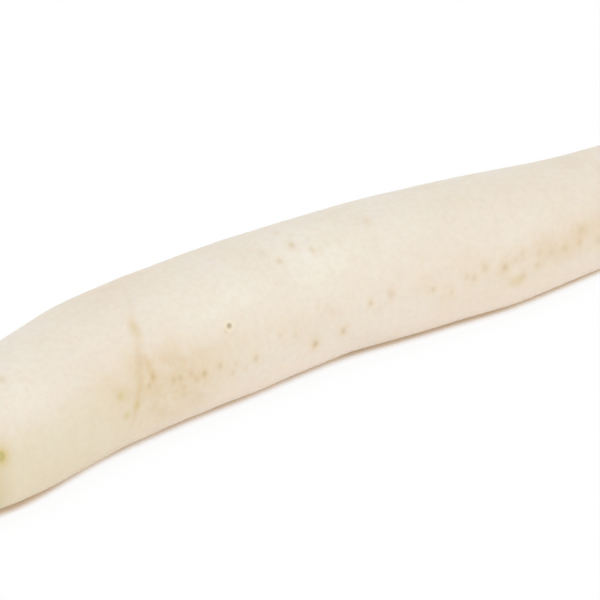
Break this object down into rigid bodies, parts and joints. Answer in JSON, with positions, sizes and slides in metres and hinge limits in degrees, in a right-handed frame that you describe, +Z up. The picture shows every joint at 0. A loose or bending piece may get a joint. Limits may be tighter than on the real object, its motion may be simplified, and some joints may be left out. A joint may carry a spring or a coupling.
{
  "type": "daikon radish",
  "caption": "Long white tap root lying on its side, gently bent, with trimmed leaf stalks on its crown and a thin tail.",
  "frame": {"origin": "on the surface the radish rests on, below the middle of its bounding box", "axes": "+X from the crown to the tail, +Z up, away from the surface it lies on"},
  "size_m": [0.446, 0.0681, 0.0566],
  "materials": {
    "root_skin": "satin",
    "leaf_stalk": "satin",
    "heart_bud": "satin"
  },
  "bodies": {
    "root": {"root": "root_skin", "leaf_stalk_01": "leaf_stalk", "leaf_stalk_02": "leaf_stalk", "leaf_stalk_03": "leaf_stalk", "leaf_stalk_04": "leaf_stalk", "leaf_stalk_05": "leaf_stalk", "leaf_stalk_06": "leaf_stalk", "leaf_stalk_07": "leaf_stalk", "leaf_stalk_08": "leaf_stalk", "leaf_stalk_09": "leaf_stalk", "leaf_stalk_10": "leaf_stalk", "leaf_stalk_11": "leaf_stalk", "leaf_stalk_12": "leaf_stalk", "heart_bud": "heart_bud"}
  },
  "joints": []
}
